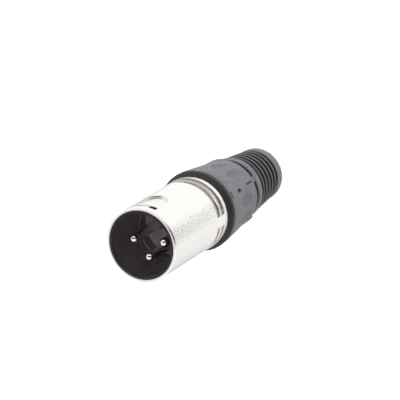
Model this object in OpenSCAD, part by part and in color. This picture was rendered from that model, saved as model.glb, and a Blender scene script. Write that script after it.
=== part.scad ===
// Cable plug with three round contacts in a metal nose.
// It stands on its cable end with the mating face up, and its latch side faces -Y.
// Sizes are in millimetres and angles in degrees.

/* [Shell] */
// Outside diameter of the metal shell
shell_d = 18.9; // [18.5:0.1:19.4]
// Length of the metal shell
shell_len = 28.05; // [26:0.05:31]
// Wall of the shell round the insert
shell_wall = 0.83; // [0.75:0.01:1]
// Wall of the shell round the thread
thread_wall = 1.19; // [1.1:0.01:1.4]
// Chamfer round the outer edges of both ends
shell_chamfer = 0.3; // [0.1:0.05:0.4]
// Radial width of the inner shoulder under the insert
shoulder_w = 1.25; // [0.8:0.05:1.6]
// Thickness of that shoulder
shoulder_t = 1.2; // [0.8:0.1:2]
// Width of the two keyways that guide the cable clamp
keyway_w = 2; // [1.4:0.1:2.4]
// Depth of the keyways below the thread bore
keyway_depth = 0.55; // [0.3:0.05:0.6]

/* [Latch recess] */
// Width of the recess where a socket's latch drops in
recess_w = 6.6; // [4.5:0.1:7]
// Distance from the rim to the recess
recess_start = 1.3; // [0.8:0.1:2]
// Length of the recess with its round end
recess_len = 9.4; // [7:0.1:12]
// Depth of its floor, which is round like the shell
recess_depth = 0.45; // [0.3:0.05:0.5]
// Distance from the rim to the catch groove across the recess
catch_start = 2.6; // [1.8:0.1:3.4]
// Width of the catch groove
catch_w = 1.4; // [1:0.1:2]
// Depth of the catch groove below the recess floor
catch_depth = 0.14; // [0.05:0.01:0.18]
// Inset of the catch groove from the sides of the recess
catch_inset = 0.4; // [0.2:0.1:0.8]
// Length round the shell of the slot in the catch groove
snap_w = 2; // [1.2:0.1:2.4]
// Width of that slot along the shell
snap_len = 1; // [0.8:0.1:1.3]
// Turn of that slot from the middle of the recess
snap_turn = 12.6; // [8:0.2:13]
// Distance of the insert's nib below the floor of the catch groove
nib_drop = 0.16; // [0.1:0.02:0.2]

/* [Finger grooves] */
// Number of finger grooves round the back of the shell
finger_count = 2; // [1:1:4]
// Width of one finger groove
finger_w = 1.65; // [1:0.05:1.8]
// Depth of one finger groove
finger_depth = 0.35; // [0.1:0.05:0.4]
// Land between two finger grooves
finger_land = 0.6; // [0.3:0.05:0.9]
// Land between the last groove and the back end
finger_back = 1.65; // [1:0.05:2.5]
// Angle of the plain strip on each flank, where no groove runs
finger_gap = 17; // [14:1:30]

/* [Insert] */
// Depth of the cup from the rim to the contact face
cup_depth = 17; // [15:0.5:18]
// Wall of the cup lining
lining_wall = 0.6; // [0.45:0.05:0.8]
// Height of the lining's lip in the mouth of the shell
lip_h = 0.5; // [0.3:0.1:0.7]
// Radial step of that lip
lip_step = 0.16; // [0.08:0.02:0.22]
// Height of the thicker band at the bottom of the cup
band_h = 3; // [1.5:0.5:4]
// Step of that band
band_step = 0.14; // [0.05:0.01:0.3]
// Thickness of the plate that carries the contacts
plate_t = 4; // [3.5:0.1:4.5]
// Width of the key that stops the insert from turning
insert_key_w = 2.4; // [1.5:0.1:3]

/* [Contacts] */
// Diameter of a contact pin
pin_d = 2.4; // [2:0.1:2.6]
// Distance from the lining to the middle of a pin
pin_inset = 3.8; // [3.6:0.05:4]
// Distance of the pin tips below the rim
pin_setback = 3.05; // [2:0.05:5]
// Diameter of the collar that holds a pin in the plate
pin_collar_d = 3.5; // [3.2:0.1:3.8]
// Height of that collar
pin_collar_h = 1.4; // [0.8:0.1:2]
// Diameter of the shank between the collar and the contact face
shank_d = 2.9; // [2.8:0.05:3.1]
// Outside diameter of a solder cup
solder_d = 2.9; // [2.8:0.1:3.1]
// Bore of a solder cup
solder_bore_d = 2; // [1.4:0.1:2.2]
// Length of a solder cup behind the plate
solder_len = 4.4; // [3:0.1:5]
// Depth of the bore in a solder cup
solder_bore_len = 3.2; // [2.4:0.1:3.6]
// Length of the open side of a solder cup
solder_cut_len = 2.2; // [1:0.1:2.3]

/* [Ground contact] */
// Width of the spring strip that connects the shell
strip_w = 2.6; // [1.8:0.1:3]
// Thickness of the strip
strip_t = 0.3; // [0.2:0.05:0.35]
// Height of the strip beside the plate
strip_h = 3.4; // [3:0.1:3.5]
// Length of the solder tag behind the plate
tag_len = 3.4; // [2.4:0.1:4.4]
// Hole in the tag
tag_hole_d = 1; // [0.6:0.1:1.4]
// Gap between the tag and the clamp that slides past it
tag_gap = 0.3; // [0.2:0.05:0.5]

/* [Cable clamp] */
// Wall of the clamp's barrel round the solder cups
clamp_wall = 0.75; // [0.6:0.05:0.9]
// Thickness of the ring that carries the two keys
clamp_ring_t = 1.2; // [0.8:0.1:1.6]
// Whole length of the clamp
clamp_len = 16.6; // [14:0.1:18]
// Length of the fingers
finger_len = 9.5; // [7:0.5:11]
// Length of the gripping part inside the fingers
jaw_len = 4.7; // [3:0.1:6]
// Number of fingers
jaw_count = 6; // [4:1:8]
// Width of the slots between the fingers
jaw_slot_w = 0.9; // [0.5:0.1:1.2]
// Gap between the jaws and the cable before they are closed
jaw_gap = 0.1; // [0.05:0.05:0.4]
// Wall of the fingers at their tips
jaw_wall = 1.1; // [0.9:0.1:1.3]
// Length of the tapered part of the fingers
jaw_taper_len = 7.8; // [6:0.1:9]
// Number of gripping grooves inside the jaws
tooth_count = 4; // [2:1:5]
// Depth of a gripping groove
tooth_depth = 0.25; // [0.1:0.05:0.4]

/* [Bushing] */
// Wall of the threaded neck round the clamp
neck_wall = 1.35; // [1.1:0.05:1.6]
// Length of the collar behind the shell
collar_len = 2.25; // [1.5:0.05:3]
// Radial height of the collar over the shell
collar_rise = 0.95; // [0.7:0.05:1.3]
// Radial step from the shell down to the front face of the collar
collar_inset = 0.1; // [0.05:0.05:0.3]
// Length of the cone between that face and the full diameter
collar_cone_len = 1.4; // [0.8:0.05:1.8]
// Thickness of the boot between the slots and the end of the core
core_end_gap = 1.5; // [1:0.1:3]
// Radial gap round the cable in the passage below the fingers
passage_gap = 0.6; // [0.4:0.05:0.8]

/* [Grip] */
// Length of the grip cone
grip_len = 16; // [14:0.1:20]
// Radial step from the collar down to the grip
grip_step = 0.1; // [0.05:0.05:0.3]
// Radial taper of the grip from its front to its back edge
grip_taper = 1.6; // [1.2:0.05:2]
// Wall of the grip over the core at its back edge
grip_wall = 0.8; // [0.6:0.05:1.2]
// Length of the straight part next to the collar
grip_straight = 1.7; // [1:0.1:3]
// Number of dimples between a plain strip and a lug
dimple_count = 2; // [1:1:2]
// Angle from the middle of a plain strip to the first dimple
dimple_start = 23; // [20:0.1:26]
// Angle from one dimple to the next
dimple_pitch = 26.8; // [24:0.1:30]
// Length of a dimple
dimple_len = 9.6; // [7:0.1:10.5]
// Width of a dimple
dimple_w = 3.3; // [2:0.1:3.6]
// Depth of a dimple
dimple_depth = 0.45; // [0.3:0.05:0.6]
// Distance from the collar to the middle of a dimple
dimple_from_collar = 8.3; // [7.4:0.1:8.8]
// Turn of the boot against the latch side
boot_turn = 59.6; // [0:0.1:360]
// Radial height of the two lugs over the back edge of the grip
lug_rise = 0.35; // [0.2:0.05:0.6]
// Width of a lug
lug_w = 6.8; // [4:0.1:8]

/* [Grip marks] */
// Length of the oblong recess in the plain strip
oblong_len = 2.1; // [1.5:0.1:4]
// Width of the oblong recess
oblong_w = 1; // [0.5:0.1:1.4]
// Depth of the oblong recess
oblong_depth = 0.6; // [0.2:0.05:0.8]
// Distance from the collar to the middle of the oblong recess
oblong_from_collar = 5.8; // [4:0.05:7]
// Length of the thin groove behind it
dash_len = 4.9; // [2:0.1:6]
// Width of the thin groove
dash_w = 0.4; // [0.3:0.05:0.6]
// Depth of the thin groove and of the notch
mark_depth = 0.25; // [0.1:0.05:0.4]
// Length of the notch in the front edge of the grip
notch_len = 1.3; // [0.5:0.1:1.6]
// Width of that notch
notch_w = 2; // [0.6:0.1:2.6]
// Turn of the oblong recess from the middle of the plain strip
oblong_turn = 3; // [-6:0.5:6]
// Turn of the thin groove from the middle of the plain strip
dash_turn = 1; // [-6:0.5:6]

/* [Boot tail] */
// Number of slots between the grip and the ring
slot_count = 6; // [3:1:8]
// Length of a slot along the boot
slot_len = 2; // [0.8:0.1:2.6]
// Angle of the bridge between two slots
slot_bridge = 10; // [6:1:20]
// Length of the ring behind the slots
ring_len = 2.1; // [1.5:0.1:3.5]
// Radial step from the back edge of the grip down to the ring
ring_step = 0.5; // [0.3:0.05:0.8]
// Radial step from the ring down to the ribs
rib_step = 0.15; // [0.1:0.05:0.4]
// Number of ribs between the ring and the cap
rib_count = 5; // [3:1:7]
// Width of a rib
rib_w = 0.9; // [0.8:0.05:1.4]
// Width of a groove between ribs
rib_gap = 1.2; // [0.8:0.05:1.4]
// Radial taper of the tail from its first rib to the cap
tail_taper = 1.1; // [0.8:0.05:1.4]
// Wall of the tail between the cable hole and the grooves
tail_wall = 1.2; // [1:0.05:1.5]
// Length of the cap at the cable end
cap_len = 3.1; // [2.4:0.1:5]
// Radius of the cap's round end
cap_round = 1.4; // [0.8:0.05:1.6]
// Radius of the cap's front edge
cap_edge = 0.4; // [0.2:0.05:0.6]
// Diameter of the cable
cable_d = 8; // [6:0.1:8.2]

/* [Fits] */
// Gap round pieces that are pressed or moulded together
seat_gap = 0.02; // [0.01:0.01:0.05]
// Gap round pieces that slide or turn on each other
run_gap = 0.06; // [0.03:0.01:0.1]
// Gap between the clamp's fingers and the bushing's cone
cone_gap = 0.15; // [0.1:0.05:0.3]

/* [Hidden] */
$fn = 96;
eps = 0.01;

// How far a cutter reaches past the surface that it cuts
past = 1;

// How far the shank shows above the contact face
shank_rise = 0.05;

// Small edges of hard and of soft mouldings
hard_edge = 0.1;
soft_edge = 0.25;

// Chamfer at the start of the thread
thread_lead = 0.4;

// Heights above the cable end
ribs_top = cap_len + (rib_count + 1) * rib_gap + rib_count * rib_w;
ring_top = ribs_top + ring_len;
grip_bottom = ring_top + slot_len;
grip_top = grip_bottom + grip_len;
shell_bottom = grip_top + collar_len;
rim = shell_bottom + shell_len;
contact_face = rim - cup_depth;
seat_top = contact_face - plate_t;
seat_bottom = seat_top - shoulder_t;
clamp_top = seat_bottom - run_gap;
ring_bottom = clamp_top - clamp_ring_t;
clamp_bottom = clamp_top - clamp_len;
lip_low = rim - lip_h;
taper_top = clamp_bottom + jaw_taper_len;
neck_top = ring_bottom - run_gap;
core_bottom = grip_bottom + core_end_gap;
finger_slot_top = clamp_bottom + finger_len;

// Radii of the shell and of what it holds
shell_r = shell_d / 2;
bore_r = shell_r - shell_wall;
shoulder_r = bore_r - shoulder_w;
thread_bore_r = shell_r - thread_wall;
thread_r = thread_bore_r - run_gap;
keyway_r = thread_bore_r + keyway_depth;
recess_floor = shell_r - recess_depth;
catch_floor = recess_floor - catch_depth;
insert_r = bore_r - seat_gap;
cup_r = insert_r - lining_wall;
lip_r = insert_r + lip_step;
pin_r = pin_d / 2;
pin_ring_r = cup_r - pin_inset;

// Radii of the clamp and of the bushing's cone round it
cable_r = cable_d / 2;
cone_r = thread_r - neck_wall;
barrel_r = cone_r - cone_gap;
clamp_bore_r = barrel_r - clamp_wall;
jaw_r = cable_r + jaw_gap;
tip_r = jaw_r + jaw_wall;
passage_r = cable_r + passage_gap;

// Radii of the collar, the grip and the tail
collar_r = shell_r + collar_rise;
collar_face_r = shell_r - collar_inset;
grip_front_r = collar_r - grip_step;
grip_back_r = grip_front_r - grip_taper;
core_r = grip_back_r - grip_wall;
lug_r = grip_back_r + lug_rise;
ring_r = grip_back_r - ring_step;
rib_top_r = ring_r - rib_step;
cap_r = rib_top_r - tail_taper;
tail_floor_r = cable_r + tail_wall;

// Height of the catch groove and the slot in it
catch_z = rim - catch_start - catch_w / 2;

// Radii at which the ground strip's leg touches the shell's bore and its tag passes the clamp
leg_out = sqrt(pow(insert_r, 2) - pow(strip_w / 2, 2)) - seat_gap;
tag_in = sqrt(pow(clamp_bore_r - tag_gap, 2) - pow(strip_w / 2, 2)) - strip_t;

// A dimple is a scoop with two radii: across the grip and along it
grip_slope = atan((grip_front_r - grip_back_r) / (grip_len - grip_straight));
dimple_z = grip_top - dimple_from_collar;
dimple_rise = grip_r(dimple_z) - sqrt(pow(grip_r(dimple_z), 2) - pow(dimple_w / 2, 2));
dimple_drop = dimple_depth - dimple_rise;
scoop_across = (pow(dimple_w / 2, 2) + pow(dimple_drop, 2)) / (2 * dimple_drop);
scoop_along = pow(dimple_len / 2, 2) / (2 * dimple_depth);

// Radius of the grip cone at a height
function grip_r(z) = z > grip_top - grip_straight ? grip_front_r
    : grip_back_r + (z - grip_bottom) * (grip_front_r - grip_back_r) / (grip_len - grip_straight);

// Radius over the ribs at a height between cap and ring
function tail_r(z) = cap_r + (z - cap_len) * (rib_top_r - cap_r) / (ribs_top - cap_len);

// Points on an arc round a centre from one angle to another
function arc(x, z, r, from, to, steps) =
    [for (i = [0:steps]) let (a = from + (to - from) * i / steps) [x + r * cos(a), z + r * sin(a)]];

// Ring between two radii and two heights
module tube(r_out, r_in, low, high) {
    translate([0, 0, low])
        difference() {
            cylinder(r = r_out, h = high - low);
            translate([0, 0, -eps])
                cylinder(r = r_in, h = high - low + 2 * eps);
        }
}

// Block that stands out from the axis along +X
module radial_block(from, to, width, low, high) {
    translate([from, -width / 2, low])
        cube([to - from, width, high - low]);
}

// Turn to a place round the axis, counted from the latch side
module at_side(angle) {
    rotate([0, 0, -90 - angle])
        children();
}

// Recess with a round end, and the catch groove across it
module latch_recess() {
    round_r = recess_w / 2;
    top = rim - recess_start;
    bottom = top - recess_len;
    intersection() {
        tube(shell_r + past, recess_floor, bottom, top);
        at_side(0)
            union() {
                radial_block(0, shell_r + 2 * past, recess_w, bottom + round_r, top + past);
                translate([0, 0, bottom + round_r])
                    rotate([0, 90, 0])
                        cylinder(r = round_r, h = shell_r + 2 * past);
            }
    }
    intersection() {
        tube(shell_r + past, catch_floor, catch_z - catch_w / 2, catch_z + catch_w / 2);
        at_side(0)
            radial_block(0, shell_r + 2 * past, recess_w - 2 * catch_inset, catch_z - catch_w,
                catch_z + catch_w);
    }
}

// Block through the shell's wall in the catch groove: the slot, and the insert's nib that snaps in it
module snap_block(from, to, gap) {
    at_side(snap_turn)
        radial_block(from, to, snap_w - 2 * gap, catch_z - snap_len / 2 + gap, catch_z + snap_len / 2 - gap);
}

// Grooves for the fingers, stopped at the plain strip on each flank
module finger_grooves() {
    pitch = finger_w + finger_land;
    strip = 2 * shell_r * sin(finger_gap / 2);
    for (i = [0:finger_count - 1])
        difference() {
            tube(shell_r + past, shell_r - finger_depth, shell_bottom + finger_back + i * pitch,
                shell_bottom + finger_back + i * pitch + finger_w);
            for (side = [90, 270])
                at_side(side)
                    radial_block(0, shell_r + 2 * past, strip, shell_bottom, rim);
        }
}

// Plated casting: nose, latch recess, shoulder, thread bore with keyways, finger grooves
module shell() {
    color([0.86, 0.85, 0.83])
        difference() {
            rotate_extrude()
                polygon([
                    [thread_bore_r, shell_bottom],
                    [shell_r - shell_chamfer, shell_bottom],
                    [shell_r, shell_bottom + shell_chamfer],
                    [shell_r, rim - shell_chamfer],
                    [shell_r - shell_chamfer, rim],
                    [lip_r + seat_gap, rim],
                    [lip_r + seat_gap, lip_low],
                    [bore_r, lip_low],
                    [bore_r, seat_top],
                    [shoulder_r, seat_top],
                    [shoulder_r, seat_bottom],
                    [thread_bore_r, seat_bottom]
                ]);
            latch_recess();
            snap_block(bore_r - past, recess_floor, 0);
            finger_grooves();
            for (side = [90, 270])
                at_side(side)
                    radial_block(shoulder_r, keyway_r, keyway_w, shell_bottom - past, seat_bottom);
            at_side(180)
                radial_block(shoulder_r - past, bore_r, insert_key_w + 2 * run_gap, seat_bottom - eps,
                    seat_top + eps);
        }
}

// Black insulator: plate for the contacts, lining of the cup, key and snap nib
module insert() {
    band_r = cup_r - band_step;
    band_top = contact_face + band_h;
    spigot_r = shoulder_r - seat_gap;
    nib_in = insert_r - lining_wall / 2;
    color([0.12, 0.11, 0.12])
        difference() {
            union() {
                rotate_extrude()
                    polygon([
                        [0, seat_bottom],
                        [spigot_r, seat_bottom],
                        [spigot_r, seat_top],
                        [insert_r, seat_top],
                        [insert_r, lip_low + seat_gap],
                        [lip_r, lip_low + seat_gap],
                        [lip_r, rim - hard_edge],
                        [lip_r - hard_edge, rim],
                        [cup_r + hard_edge, rim],
                        [cup_r, rim - hard_edge],
                        [cup_r, band_top + band_step],
                        [band_r, band_top],
                        [band_r, contact_face],
                        [0, contact_face]
                    ]);
                snap_block(nib_in, catch_floor - nib_drop, seat_gap);
                at_side(180)
                    radial_block(spigot_r - past, insert_r - seat_gap, insert_key_w, seat_bottom,
                        seat_top + eps);
            }
            for (i = [1:3])
                pin_place(i)
                    pin_bore();
            strip_pocket();
        }
}

// Place of a contact: 1 and 2 on the flanks, 3 opposite the latch
module pin_place(i) {
    angle = i == 1 ? 270 : i == 2 ? 90 : 180;
    at_side(angle)
        translate([pin_ring_r, 0, 0])
            rotate([0, 0, 180])
                children();
}

// Stepped hole that holds a contact in the plate
module pin_bore() {
    held_r = pin_collar_d / 2 + seat_gap;
    translate([0, 0, seat_bottom - eps])
        cylinder(r = held_r, h = shoulder_t + pin_collar_h + seat_gap + eps);
    translate([0, 0, seat_top])
        cylinder(r = shank_d / 2 + seat_gap, h = plate_t + past);
}

// Turned contact with a round tip, a collar in the plate and a solder cup behind it
module contact() {
    held_r = pin_collar_d / 2;
    solder_r = solder_d / 2;
    tip = rim - pin_setback;
    solder_bottom = seat_top - solder_len;
    color([0.93, 0.92, 0.88])
        difference() {
            rotate_extrude()
                polygon(concat(
                    [[0, solder_bottom], [solder_r, solder_bottom], [solder_r, seat_top],
                        [held_r, seat_top], [held_r, seat_top + pin_collar_h],
                        [shank_d / 2, seat_top + pin_collar_h], [shank_d / 2, contact_face + shank_rise],
                        [pin_r, contact_face + shank_rise]],
                    arc(0, tip - pin_r, pin_r, 0, 90, 12)
                ));
            translate([0, 0, solder_bottom - eps])
                cylinder(d = solder_bore_d, h = solder_bore_len + eps);
            translate([0, -solder_r - past, solder_bottom - past])
                cube([solder_r + past, solder_d + 2 * past, solder_cut_len + past]);
        }
}

module pin_1() {
    pin_place(1)
        contact();
}

module pin_2() {
    pin_place(2)
        contact();
}

module pin_3() {
    pin_place(3)
        contact();
}

// Pocket in the side of the insert for the ground strip, open to the back
module strip_pocket() {
    pocket_w = strip_w + 2 * seat_gap;
    at_side(0) {
        radial_block(leg_out - strip_t - seat_gap, insert_r + past, pocket_w, seat_top - eps,
            seat_top + strip_h + seat_gap);
        radial_block(tag_in - seat_gap, insert_r + past, pocket_w, seat_bottom - eps,
            seat_top + strip_t + seat_gap);
    }
}

// Bent spring strip: a leg against the shell's bore, a foot under the lining, and a solder tag
module ground_contact() {
    hole_z = seat_top - tag_len + strip_w / 2;
    color([0.80, 0.78, 0.72])
        at_side(0)
            union() {
                radial_block(leg_out - strip_t, leg_out, strip_w, seat_top + seat_gap, seat_top + strip_h);
                radial_block(tag_in, leg_out, strip_w, seat_top + seat_gap, seat_top + strip_t);
                difference() {
                    radial_block(tag_in, tag_in + strip_t, strip_w, seat_top - tag_len, seat_top + strip_t);
                    translate([tag_in - past, 0, hole_z])
                        rotate([0, 90, 0])
                            cylinder(d = tag_hole_d, h = strip_t + 2 * past);
                }
            }
}

// Collet that grips the cable: keyed ring, barrel, and fingers that the bushing's cone closes
module cable_clamp() {
    jaw_top = clamp_bottom + jaw_len;
    tooth_pitch = jaw_len / (tooth_count + 0.5);
    color([0.90, 0.89, 0.85])
        difference() {
            union() {
                rotate_extrude()
                    polygon(concat(
                        [[clamp_bore_r, clamp_top], [thread_bore_r - 2 * run_gap, clamp_top],
                            [thread_bore_r - 2 * run_gap, ring_bottom], [barrel_r, ring_bottom],
                            [barrel_r, taper_top], [tip_r, clamp_bottom], [jaw_r, clamp_bottom]],
                        [for (i = [0:tooth_count - 1]) for (p = [[0.25, 0], [0.5, tooth_depth], [0.75, 0]])
                            [jaw_r + p[1], clamp_bottom + (i + p[0] + 0.25) * tooth_pitch]],
                        [[jaw_r, jaw_top], [clamp_bore_r, jaw_top + clamp_bore_r - jaw_r]]
                    ));
                for (side = [90, 270])
                    at_side(side)
                        radial_block(barrel_r - past / 2, keyway_r - run_gap, keyway_w - 2 * run_gap,
                            ring_bottom, clamp_top);
            }
            for (i = [0:jaw_count - 1])
                at_side((i + 0.5) * 360 / jaw_count)
                    radial_block(jaw_r - past, barrel_r + past, jaw_slot_w, clamp_bottom - past,
                        finger_slot_top);
        }
}

// Hard plastic bushing: threaded neck, collar behind the shell, inner cone, core for the grip
module bushing() {
    cone_end = clamp_bottom - 2 * cone_gap;
    face_z = shell_bottom - run_gap;
    cone_z = face_z - collar_cone_len;
    color([0.20, 0.18, 0.19])
        rotate_extrude()
            polygon([
                [passage_r, core_bottom],
                [core_r, core_bottom],
                [core_r, grip_top],
                [collar_r, grip_top],
                [collar_r, cone_z],
                [collar_r - hard_edge, cone_z + hard_edge],
                [collar_face_r, face_z],
                [thread_r, face_z],
                [thread_r, neck_top - thread_lead],
                [thread_r - thread_lead, neck_top],
                [cone_r, neck_top],
                [cone_r, taper_top],
                [tip_r + cone_gap, cone_end],
                [passage_r, cone_end]
            ]);
}

// Part of a ring torus that scoops one dimple out of the grip cone
module dimple_cutter() {
    trim_w = dimple_w + past;
    trim_len = dimple_len + 2 * past;
    intersection() {
        translate([scoop_along, 0, 0])
            rotate([90, 0, 0])
                rotate_extrude()
                    translate([scoop_along - scoop_across, 0])
                        circle(r = scoop_across);
        translate([-past, -trim_w / 2, -trim_len / 2])
            cube([2 * past, trim_w, trim_len]);
    }
}

// Dimples on both flanks of each plain strip
module dimples() {
    for (strip = [0, 180])
        for (flank = [-1, 1])
            for (i = [0:dimple_count - 1])
                at_side(boot_turn + strip + flank * (dimple_start + i * dimple_pitch))
                    translate([grip_r(dimple_z) - dimple_depth, 0, dimple_z])
                        rotate([0, grip_slope, 0])
                            dimple_cutter();
}

// Two lugs midway between the plain strips, which rise from the cone and end with the grip
module lugs() {
    intersection() {
        translate([0, 0, grip_bottom])
            cylinder(r = lug_r, h = grip_len - grip_straight);
        union() {
            for (flank = [90, 270])
                at_side(boot_turn + flank)
                    radial_block(core_r + seat_gap, lug_r + past, lug_w, grip_bottom, grip_top);
        }
    }
}

// Slots between the grip and the ring, with a bridge between neighbours
module tail_slots() {
    bridge = 2 * ring_r * sin(slot_bridge / 2);
    difference() {
        tube(grip_back_r + past, tail_floor_r, ring_top, grip_bottom);
        for (i = [0:slot_count - 1])
            at_side(boot_turn + i * 360 / slot_count)
                radial_block(0, grip_back_r + 2 * past, bridge, ring_top - past, grip_bottom + past);
    }
}

// Oblong recess, thin groove and notch in the plain strip of the grip
module grip_marks() {
    oblong_z = grip_top - oblong_from_collar;
    oblong_floor = grip_r(oblong_z) - oblong_depth;
    oblong_half = (oblong_len - oblong_w) / 2;
    dash_r = grip_r(grip_bottom + dash_len / 2);
    at_side(boot_turn + oblong_turn) {
        for (shift = [-oblong_half, oblong_half])
            translate([oblong_floor, 0, oblong_z + shift])
                rotate([0, 90, 0])
                    cylinder(d = oblong_w, h = oblong_depth + past);
        radial_block(oblong_floor, oblong_floor + oblong_depth + past, oblong_w, oblong_z - oblong_half,
            oblong_z + oblong_half);
        radial_block(grip_front_r - mark_depth, grip_front_r + past, notch_w, grip_top - notch_len,
            grip_top + past);
    }
    at_side(boot_turn + dash_turn)
        radial_block(dash_r - mark_depth, dash_r + past, dash_w, grip_bottom - past, grip_bottom + dash_len);
}

// Outline of the tail from the cable end up to the ring
function tail_points() = concat(
    [[cable_r, soft_edge], [cable_r + soft_edge, 0]],
    arc(cap_r - cap_round, cap_round, cap_round, -90, 0, 6),
    arc(cap_r - cap_edge, cap_len - cap_edge, cap_edge, 0, 90, 4),
    [for (i = [0:rib_count - 1]) for (p = rib_points(cap_len + rib_gap + i * (rib_gap + rib_w))) p],
    groove_points(ribs_top),
    [[ring_r - soft_edge, ribs_top], [ring_r, ribs_top + soft_edge]]
);

// Groove below a rib, and the rib with its round edge
function rib_points(low) = let (r = tail_r(low + rib_w / 2), edge = rib_w / 2)
    concat(groove_points(low), arc(r - edge, low + edge, edge, -90, 90, 8));

// Rounded floor of the groove that ends at a height
function groove_points(top) = [
    [tail_floor_r + soft_edge, top - rib_gap],
    [tail_floor_r, top - rib_gap + soft_edge],
    [tail_floor_r, top - soft_edge],
    [tail_floor_r + soft_edge, top]
];

// Soft boot moulded on the core: grip cone with dimples and lugs, slots, ring, ribs and cap
module boot() {
    color([0.33, 0.33, 0.34])
        difference() {
            union() {
                rotate_extrude()
                    polygon(concat(
                        tail_points(),
                        [[ring_r, ring_top - soft_edge], [ring_r - soft_edge, ring_top],
                            [ring_r - soft_edge, grip_bottom], [grip_back_r - soft_edge, grip_bottom],
                            [grip_back_r, grip_bottom + soft_edge],
                            [grip_front_r, grip_top - grip_straight], [grip_front_r, grip_top - hard_edge],
                            [grip_front_r - hard_edge, grip_top], [core_r + seat_gap, grip_top],
                            [core_r + seat_gap, core_bottom], [cable_r, core_bottom]]
                    ));
                lugs();
            }
            dimples();
            tail_slots();
            grip_marks();
        }
}

shell();
insert();
pin_1();
pin_2();
pin_3();
ground_contact();
cable_clamp();
bushing();
boot();
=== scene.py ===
import math

import bmesh
import bpy
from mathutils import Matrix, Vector


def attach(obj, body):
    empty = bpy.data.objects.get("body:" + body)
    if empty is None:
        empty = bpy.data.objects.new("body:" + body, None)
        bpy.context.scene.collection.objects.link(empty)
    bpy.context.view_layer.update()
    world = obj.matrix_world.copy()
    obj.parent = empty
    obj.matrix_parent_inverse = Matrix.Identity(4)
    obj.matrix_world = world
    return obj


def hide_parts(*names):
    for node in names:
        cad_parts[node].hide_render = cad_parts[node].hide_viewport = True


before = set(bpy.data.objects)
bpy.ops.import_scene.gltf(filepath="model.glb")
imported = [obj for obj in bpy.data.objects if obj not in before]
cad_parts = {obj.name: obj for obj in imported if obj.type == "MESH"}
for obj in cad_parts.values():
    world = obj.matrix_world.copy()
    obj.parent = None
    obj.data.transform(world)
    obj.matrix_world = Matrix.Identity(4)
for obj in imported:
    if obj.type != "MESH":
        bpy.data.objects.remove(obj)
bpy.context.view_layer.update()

# Camera: it looks down on the mating face with a long lens.
# The plug then points to the lower left of the picture, as it does in the photograph.
camera_data = bpy.data.cameras.new("camera")
camera_data.lens = 270
camera_data.sensor_width = 36
camera_data.clip_start = 0.05
camera = bpy.data.objects.new("camera", camera_data)
camera.location = (-0.33082, -0.22356, 0.66861)
camera.rotation_euler = [math.radians(angle) for angle in (-17.991, 27.021, 178.207)]
bpy.context.scene.collection.objects.link(camera)
bpy.context.scene.camera = camera

# Shell: a zinc casting with satin nickel plating, which holds the insert and the contacts.
# Its fine pits are faint all over and dark on the side between the latch and contact 2, where the dark
# is painted reflection.
# Its finger grooves, the recess's end wall, the catch's wall and the slot carry painted shade.
# Heights and radii are in mm, turns in degrees from the latch side towards contact 2.
MM = 0.001
nose_radius, recess_floor, catch_floor = 9.45, 9.0, 8.86
grooves_top, wall_inside = 43, 8.8
recess_foot, recess_top, catch_foot = 54, 64.1, 61
slot_turn, slot_half, slot_height, slot_reach = 12.6, 7, 62, 0.7
dark_reflection_turn, dark_reflection_heart, dark_reflection_half = 70, 4, 22


# One output of a shader's node. Sums on sockets add Math nodes to the finish that they belong to.
class Socket:
    def __init__(self, finish, out):
        self.finish = finish
        self.out = out

    def _math(self, operation, *values):
        return self.finish.node("ShaderNodeMath", {"operation": operation}, dict(enumerate(values)))

    def __add__(self, other):
        return self._math("ADD", self, other)

    def __sub__(self, other):
        return self._math("SUBTRACT", self, other)

    def __mul__(self, other):
        return self._math("MULTIPLY", self, other)

    def __rsub__(self, other):
        return self._math("SUBTRACT", other, self)

    __radd__ = __add__
    __rmul__ = __mul__

    def size(self):
        return self._math("ABSOLUTE", self)

    def root(self):
        return self._math("SQRT", self)

    def turned_from(self, other):
        return self._math("ARCTAN2", self, other) * (180 / math.pi)

    def ramp(self, low, high):
        values = {0: self, 1: low, 2: high, 3: 0.0, 4: 1.0}
        return self.finish.node("ShaderNodeMapRange", {"interpolation_type": "SMOOTHSTEP"}, values)

    # 1 between two values and 0 outside them, with soft ends inside
    def between(self, low, high, soft):
        return (self - low).ramp(0, soft) * (high - self).ramp(0, soft)

    # 1 within a reach of a middle and 0 beyond it
    def near(self, middle, heart, reach):
        return 1 - (self - middle).size().ramp(heart, reach)

    def beside(self, output):
        return Socket(self.finish, self.out.node.outputs[output])


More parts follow.
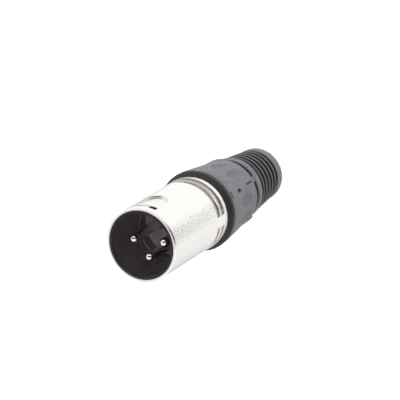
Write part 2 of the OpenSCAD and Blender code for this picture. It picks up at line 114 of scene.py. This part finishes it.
# One material, with a method for each thing that its shader is built of.
class Finish:
    def __init__(self, name):
        self.material = bpy.data.materials.new(name)
        self.material.use_nodes = True
        self.tree = self.material.node_tree
        self.shader = self.tree.nodes["Principled BSDF"]

    def feed(self, socket, value):
        if isinstance(value, Socket):
            self.tree.links.new(value.out, socket)
        else:
            socket.default_value = (*value, 1) if socket.type == "RGBA" else value

    def node(self, kind, settings, values, output=0):
        made = self.tree.nodes.new(kind)
        for name, setting in settings.items():
            setattr(made, name, setting)
        for place, value in values.items():
            self.feed(made.inputs[place], value)
        return Socket(self, made.outputs[output])

    def place(self, scale=(1, 1, 1)):
        spot = self.node("ShaderNodeTexCoord", {}, {}, "Object")
        return self.node("ShaderNodeMapping", {}, {"Vector": spot, "Scale": scale})

    # Radius from the plug's axis, turn about it and height along it
    def spot(self):
        along_x = self.node("ShaderNodeSeparateXYZ", {}, {0: self.place()})
        x, y, z = (out * (1 / MM) for out in (along_x, along_x.beside(1), along_x.beside(2)))
        return (x * x + y * y).root(), (0 - x).turned_from(0 - y), z

    def noise(self, size, detail, rough=0.55, stretch=(1, 1, 1)):
        values = {"Vector": self.place(stretch), "Scale": 1 / size, "Detail": detail,
                  "Roughness": rough}
        return self.node("ShaderNodeTexNoise", {"noise_dimensions": "3D"}, values)

    def mix(self, amount, first, second):
        factor, start, end, result = 0, 6, 7, 2
        values = {factor: amount, start: first, end: second}
        return self.node("ShaderNodeMix", {"data_type": "RGBA"}, values, result)

    def grey(self, level):
        return self.node("ShaderNodeCombineColor", {}, {0: level, 1: level, 2: level})

    # The shader rounds an edge where the mesh has it sharp.
    def bump(self, height, distance, edge=None):
        values = {"Height": height, "Distance": distance}
        if edge:
            values["Normal"] = self.node("ShaderNodeBevel", {"samples": 6}, {"Radius": edge})
        return self.node("ShaderNodeBump", {}, values)

    def set(self, **values):
        for name, value in values.items():
            self.feed(self.shader.inputs[name.replace("_", " ")], value)


def dress(node, finish):
    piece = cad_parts[node]
    piece.data.materials.clear()
    piece.data.materials.append(finish.material)


nickel = Finish("nickel")
radius, turn, height = nickel.spot()
grain = nickel.noise(0.33 * MM, 3, 0.75)
cast = nickel.noise(4 * MM, 2)
# Painted dark reflection: the pits darken strongly in a band on the side between the latch and contact
# 2.
dark_reflection_band = turn.near(dark_reflection_turn, dark_reflection_heart, dark_reflection_half)
pits_and_dark_reflection = grain.ramp(0.49, 0.59) * (0.04 + 0.96 * dark_reflection_band)
plated = nickel.mix(pits_and_dark_reflection, (0.985, 0.970, 0.946), (0.62, 0.59, 0.54))
# Painted shade: the finger grooves are a darker, browner grey, mottled by the grain.
in_grooves = ((nose_radius - 0.06 - radius).ramp(0, 0.12)
              * radius.ramp(wall_inside, wall_inside + 0.1)
              * (1 - height.ramp(grooves_top, grooves_top + 1)))
groove_shade = nickel.mix(grain.ramp(0.44, 0.60), (0.68, 0.66, 0.60), (0.42, 0.39, 0.33))
with_groove_shade = nickel.mix(0.85 * in_grooves, plated, groove_shade)
in_recess = ((nose_radius - 0.05 - radius).ramp(0, 0.05)
             * height.ramp(recess_foot - 4, recess_foot - 2))
# Painted shade on the recess's end wall and on the catch's wall.
recess_wall = (radius.between(recess_floor + 0.2, nose_radius - 0.03, 0.03)
               * height.between(recess_foot - 0.1, recess_top, 0.1))
catch_wall = (radius.between(catch_floor + 0.01, recess_floor - 0.01, 0.02)
              * height.ramp(catch_foot - 1, catch_foot))
shaded = nickel.mix(0.55 * (recess_wall + catch_wall), with_groove_shade, (0.36, 0.32, 0.28))
# Painted shade: the slot below the recess floor is near black.
in_slot = ((recess_floor + 0.2 - radius).ramp(0, 0.05)
           * turn.near(slot_turn, slot_half, slot_half + 0.5)
           * height.near(slot_height, slot_reach, slot_reach + 0.1))
nickel.set(Base_Color=nickel.mix(in_slot, shaded, (0.02, 0.02, 0.02)), Metallic=1.0,
           Roughness=0.15 + 0.08 * cast + 0.1 * in_grooves + 0.12 * in_recess,
           Normal=nickel.bump(grain, 0.02 * MM, edge=0.15 * MM))
dress("shell", nickel)

# Insert: one glossy black moulding that lines the cup and carries the contacts.
# The inside of the cup carries painted light, a lighter grey with a random tone, while its lip and
# outside stay near black.
lip_height, lining_outside = 65.2, 8.3
liner_black = Finish("liner_black")
radius, _, height = liner_black.spot()
flow = liner_black.noise(3 * MM, 2)
on_lip = height.ramp(lip_height - 0.6, lip_height - 0.2)
# Painted light: the cup's inside is lighter than its lip and outside.
outside_painted_light = (on_lip + radius.ramp(lining_outside, lining_outside + 0.1)).ramp(0, 1)
cup_painted_light = liner_black.mix(flow.ramp(0.35, 0.65), (0.064, 0.056, 0.064), (0.080, 0.070, 0.074))
liner_black.set(Base_Color=liner_black.mix(outside_painted_light, cup_painted_light, (0.008, 0.006, 0.007)), Specular_IOR_Level=0.3,
                Roughness=0.12 + 0.12 * flow, Normal=liner_black.bump(flow, 0.01 * MM))
dress("insert", liner_black)

# Contacts: turned brass pins with silver plating, pressed in the insert.
# Their round ends are a paler silver, and just below the ends the silver is yellow and rougher.
tip_height, tip_length = 61.4, 1.0
silver = Finish("silver")
_, _, height = silver.spot()
turning = silver.noise(0.3 * MM, 2, stretch=(1, 1, 6))
round_end = height.ramp(tip_height - 0.38, tip_height - 0.2)
shoulder = height.ramp(tip_height - tip_length - 0.3, tip_height - tip_length) * (1 - round_end)
body_silver = silver.mix(turning.ramp(0.3, 0.7), (0.70, 0.64, 0.54), (0.60, 0.54, 0.44))
yellow_shoulder = silver.mix(shoulder, body_silver, (0.98, 0.84, 0.60))
silver.set(Base_Color=silver.mix(round_end, yellow_shoulder, (0.95, 0.95, 0.95)), Metallic=1.0,
           Roughness=0.05 + 0.06 * turning + 0.34 * shoulder, Normal=silver.bump(turning, 0.003 * MM))
for number in (1, 2, 3):
    dress(f"pin_{number}", silver)

# Ground strip: tinned spring strip, bent to press on the shell's bore.
# It lies hidden beside the insert and carries a solder tag.
tinned = Finish("tinned")
tinned.set(Base_Color=(0.80, 0.77, 0.70), Metallic=1.0, Roughness=0.3 + 0.1 * tinned.noise(0.5 * MM, 3))
dress("ground_contact", tinned)

# Cable clamp: slotted collet in natural white plastic, keyed in the shell.
# The bushing's cone presses its fingers on the cable.
clamp_white = Finish("clamp_white")
clamp_white.set(Base_Color=(0.80, 0.78, 0.73), Roughness=0.4 + 0.15 * clamp_white.noise(0.6 * MM, 3))
dress("cable_clamp", clamp_white)

# Bushing: hard satin black plastic, turned by hand on the shell's thread.
# Its collar shows behind the shell and has a painted highlight along its edge.
# Its neck goes into the shell, and its cone holds the clamp.
neck_root, neck_crest, neck_inside = 7.80, 8.20, 6.85
neck_foot, neck_top, neck_chamfer = 37.09, 41.68, 0.3
collar_reach, collar_back, collar_edge, collar_face, collar_round = 10.40, 34.90, 35.69, 9.35, 0.1
core_radius, core_foot = 7.90, 20.40
passage_radius, cone_radius, cone_foot, cone_top = 4.60, 5.35, 26.04, 34.14
bushing_outline = [
    (passage_radius, core_foot), (core_radius, core_foot), (core_radius, collar_back),
    (collar_reach, collar_back), (collar_reach, collar_edge), (collar_face, neck_foot),
    (neck_root, neck_foot), (neck_root, neck_top - neck_chamfer),
    (neck_root - neck_chamfer, neck_top), (neck_inside, neck_top),
    (neck_inside, cone_top), (cone_radius, cone_foot), (passage_radius, cone_foot)]


def outline_ring(shape, points):
    verts = [shape.verts.new((r * MM, 0, z * MM)) for r, z in points]
    return verts, [shape.edges.new(pair) for pair in zip(verts, verts[1:] + verts[:1])]


def keep_piece(name, shape, finish, body):
    bmesh.ops.recalc_face_normals(shape, faces=shape.faces)
    mesh = bpy.data.meshes.new(name)
    shape.to_mesh(mesh)
    shape.free()
    mesh.materials.append(finish.material)
    mesh.shade_smooth()
    mesh.set_sharp_from_angle(angle=math.radians(28))
    piece = bpy.data.objects.new(name, mesh)
    bpy.context.scene.collection.objects.link(piece)
    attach(piece, body)
    return piece


bushing_black = Finish("bushing_black")
_, _, height = bushing_black.spot()
satin = bushing_black.noise(0.4 * MM, 2)
# Painted highlight: a paler ring along the collar's edge.
collar_edge_highlight = height.near(collar_edge, 0.02, 0.2)
collar_black = bushing_black.mix(collar_edge_highlight, (0.014, 0.012, 0.014), (0.060, 0.057, 0.061))
bushing_black.set(Base_Color=collar_black, Specular_IOR_Level=0.3, Roughness=0.4 + 0.12 * satin,
                  Normal=bushing_black.bump(satin, 0.004 * MM, edge=0.15 * MM))

turned = bmesh.new()
verts, edges = outline_ring(turned, bushing_outline)
bmesh.ops.spin(turned, geom=verts + edges, cent=(0, 0, 0), axis=(0, 0, 1), angle=math.radians(360),
               steps=128, use_merge=True)
close = 0.001 * MM
rims = [edge for edge in turned.edges
        if all(abs(v.co.xy.length - collar_reach * MM) < close for v in edge.verts)
        and abs(edge.verts[0].co.z - edge.verts[1].co.z) < close]
bmesh.ops.bevel(turned, geom=rims, offset=collar_round * MM, segments=2, profile=0.5, affect="EDGES",
                material=-1)
bushing_body = keep_piece("bushing_body", turned, bushing_black, "bushing")
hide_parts("bushing")

# Bushing's thread: a right-handed ridge, moulded in one with the neck.
# It runs out at the collar and at the end of the neck, where it is cut off flat.
pitch, turns, steps = 1.5, 3.6, 288
root_half, crest_half, ridge_sunk, ridge_start = 0.5, 0.14, 0.05, 0.3
ridge_foot = neck_root - ridge_sunk
ridge_middle = neck_foot - ridge_start
thread = bmesh.new()
verts, edges = outline_ring(thread, [
    (ridge_foot, ridge_middle - root_half), (ridge_foot, ridge_middle + root_half),
    (neck_crest, ridge_middle + crest_half), (neck_crest, ridge_middle - crest_half)])
bmesh.ops.spin(thread, geom=[thread.faces.new(verts)], cent=(0, 0, 0), axis=(0, 0, 1),
               dvec=(0, 0, pitch * turns * MM / steps), angle=math.radians(360) * turns, steps=steps,
               use_duplicate=False)
for cut_height, way in ((neck_foot - 0.02, 1), (neck_top - 0.1, -1)):
    cut = bmesh.ops.bisect_plane(thread, geom=thread.verts[:] + thread.edges[:] + thread.faces[:],
                                 plane_co=(0, 0, cut_height * MM), plane_no=(0, 0, way),
                                 clear_inner=True)
    cut_edges = [part for part in cut["geom_cut"] if isinstance(part, bmesh.types.BMEdge)]
    bmesh.ops.holes_fill(thread, edges=cut_edges)
bmesh.ops.remove_doubles(thread, verts=thread.verts, dist=close)
keep_piece("bushing_thread", thread, bushing_black, "bushing")

# Boot: matte charcoal rubber moulded on the bushing's core.
# Its skin is a mottled pale grey. The rib zone and the dimples carry painted shade, and the ribs'
# grooves and the slots a darker painted shade. The marks are darker. The dimples' rims and the grip's
# back edge carry painted highlights.
tail_at_cap, tail_at_ring, cap_top = 6.95, 8.05, 3.1
ring_low, ring_high, slots_high, ring_radius = 14.8, 16.9, 18.9, 8.0
grip_low, grip_back, grip_slope, grip_front = 18.9, 8.7, 1.6 / 14.3, 32
mark_turn, mark_half, oblong_foot, oblong_top, dimple_tops = 61, 5, 25, 30, 27
charcoal = Finish("charcoal")
radius, turn, height = charcoal.spot()
skin = charcoal.noise(0.25 * MM, 3)
cloud = charcoal.noise(2.5 * MM, 2)
tail_slope = (tail_at_ring - tail_at_cap) / (ring_low - cap_top)
under_ribs = (height - cap_top) * tail_slope + tail_at_cap - radius
in_ribs = height.between(cap_top - 0.1, ring_low, 0.1)
in_slots = height.between(ring_high - 0.05, slots_high + 0.1, 0.1)
# Painted shade: the ribs' grooves and the slots are near black.
painted_gap_shade = (under_ribs.ramp(0.04, 0.35) * in_ribs
             + (ring_radius - radius).ramp(0, 0.3) * in_slots).ramp(0, 1)
over_grip = grip_back + (height - grip_low) * grip_slope
on_grip = height.ramp(grip_low, grip_low + 0.1) * (1 - height.ramp(grip_front, grip_front + 0.5))
sunk = (over_grip - radius) * on_grip
in_dimple = sunk.ramp(0.04, 0.25)
paler_oblong = 1 - 0.5 * height.ramp(oblong_foot, oblong_foot + 1)
in_marks = (sunk.ramp(0.04, 0.14) * turn.near(mark_turn, mark_half - 1, mark_half)
            * (1 - height.ramp(oblong_top, oblong_top + 1)) * paler_oblong)
# Painted highlights: the dimples' rims and the grip's back edge are paler.
dimple_rim = (sunk.ramp(0.03, 0.06) * (1 - sunk.ramp(0.07, 0.13))
              * height.ramp(dimple_tops, dimple_tops + 3))
back_edge = height.near(grip_low + 0.15, 0.05, 0.25)
edge_highlight_mask = (dimple_rim + back_edge).ramp(0, 1.2)
pale_skin = charcoal.mix(cloud.ramp(0.3, 0.7), (0.160, 0.155, 0.168), (0.185, 0.179, 0.193))
# Painted shade: the rib zone and the dimples are darker.
ribs_and_dimples_shaded = charcoal.mix(0.65 * in_ribs + 0.3 * in_dimple, pale_skin, (0.090, 0.086, 0.095))
with_edge_highlights = charcoal.mix(0.7 * edge_highlight_mask, ribs_and_dimples_shaded, (0.36, 0.35, 0.36))
gap_shade_and_marks = (painted_gap_shade + 0.8 * in_marks).ramp(0, 1)
charcoal.set(Base_Color=charcoal.mix(gap_shade_and_marks, with_edge_highlights, (0.030, 0.027, 0.031)),
             Specular_IOR_Level=0.4, Roughness=0.55 + 0.15 * skin,
             Normal=charcoal.bump(skin, 0.008 * MM, edge=0.2 * MM))
dress("boot", charcoal)

# Floor: a plain pale sheet that keeps the plug's soft shadow and runs out in white.
# Polished metal sees it glow white like paper, with a painted shadow of the plug in a narrow sector
# and painted shade, a little greyer, on the sides away from the window.
floor_half = 1.5
plug_from, plug_at, white_from, white_at = 0.045, 0.075, 0.12, 0.25
window_turn, shadow_turn, shadow_heart, shadow_half = 100, 84, 6, 30
shade_from, shade_at, back_from, back_at = 90, 130, 140, 236
floor_mesh = bpy.data.meshes.new("floor")
sheet = bmesh.new()
bmesh.ops.create_grid(sheet, x_segments=1, y_segments=1, size=floor_half)
sheet.to_mesh(floor_mesh)
sheet.free()
floor = bpy.data.objects.new("floor", floor_mesh)
bpy.context.scene.collection.objects.link(floor)

pale = Finish("pale")
pale.set(Base_Color=(0.9, 0.9, 0.9), Roughness=0.9)
ground = pale.node("ShaderNodeTexCoord", {}, {}, "Object")
towards_window = {"Vector": ground, "Rotation": (0, 0, math.radians(window_turn))}
over = pale.node("ShaderNodeSeparateXYZ", {}, {0: pale.node("ShaderNodeMapping", {}, towards_window)})
along = over.beside(1)
reach_squared = over * over + along * along
side = (0 - over).turned_from(0 - along) + window_turn
# Painted shadow of the plug in a narrow sector and painted shade away from the window, seen only by
# glossy rays.
painted_shadow_sector = side.near(shadow_turn, shadow_heart, shadow_half)
away = reach_squared.ramp(plug_from ** 2, plug_at ** 2)
tone = (1.03 - 0.08 * painted_shadow_sector - 0.7 * away * painted_shadow_sector - 0.14 * side.ramp(shade_from, shade_at)
        - 0.36 * side.ramp(back_from, back_at))
paper = Socket(pale, pale.shader.outputs[0])
lit = pale.node("ShaderNodeEmission", {}, {"Strength": 0.5})
white = pale.node("ShaderNodeEmission", {}, {"Strength": 1.0})
glow = pale.node("ShaderNodeEmission", {}, {"Color": pale.grey(tone), "Strength": 1.0})
far = reach_squared.ramp(white_from ** 2, white_at ** 2)
lit_paper = pale.node("ShaderNodeAddShader", {}, {0: paper, 1: lit})
running_out = pale.node("ShaderNodeMixShader", {}, {0: far, 1: lit_paper, 2: white})
camera_ray = pale.node("ShaderNodeLightPath", {}, {}, "Is Camera Ray")
for_eye = pale.node("ShaderNodeMixShader", {}, {0: camera_ray, 1: paper, 2: running_out})
glossy_ray = camera_ray.beside("Is Glossy Ray")
for_metal = pale.node("ShaderNodeMixShader", {}, {0: glossy_ray, 1: for_eye, 2: glow})
pale.feed(pale.tree.nodes["Material Output"].inputs["Surface"], for_metal)
floor_mesh.materials.append(pale.material)


# Surround: a white room with one dark band across it, which each round tip mirrors as a dark line.
# Matte faces get little light from it, so that deep faces stay dark.
class Surround(Finish):
    def __init__(self, name):
        self.world = bpy.data.worlds.new(name)
        self.world.use_nodes = True
        self.tree = self.world.node_tree
        self.shader = self.tree.nodes["Background"]

    def facing(self, ray, way):
        settings = {"operation": "DOT_PRODUCT"}
        return self.node("ShaderNodeVectorMath", settings, {0: ray, 1: way}, "Value")


window_way, room_way = (0.11, -0.955, -0.275), (-0.442, -0.295, 0.847)
band_half, band_end, room_from, room_at = 0.22, 0.42, 0.35, 0.65
surround = Surround("surround")
ray = surround.node("ShaderNodeTexCoord", {}, {}, "Generated")
band = surround.facing(ray, window_way).near(0, band_half, band_end)
dark = band * surround.facing(ray, room_way).ramp(room_from, room_at)
for_matte = surround.node("ShaderNodeLightPath", {}, {}, "Is Diffuse Ray")
surround.set(Color=surround.grey((1 - 0.95 * dark) * (1 - 0.8 * for_matte)), Strength=1.0)
bpy.context.scene.world = surround.world


# Lamps: three soft boxes, at the window's side, low over the table and beside the camera.
# Metal mirrors the room and the floor, but not the boxes.
def soft_box(name, place, width, height, watts):
    data = bpy.data.lights.new(name, "AREA")
    data.shape = "RECTANGLE"
    data.size = width
    data.size_y = height
    data.energy = watts
    box = bpy.data.objects.new(name, data)
    box.location = place
    box.rotation_euler = (Vector((0, 0, 0.03)) - Vector(place)).to_track_quat("-Z", "Y").to_euler()
    box.visible_glossy = False
    bpy.context.scene.collection.objects.link(box)


soft_box("window", (0.05, -0.80, 0.07), 0.7, 0.12, 3.5)
soft_box("table_side", (-0.70, 0.35, 0.07), 0.6, 0.12, 0.5)
soft_box("front", (-0.12, -0.08, 0.84), 0.4, 0.4, 10)

bpy.context.scene.view_settings.view_transform = "Standard"
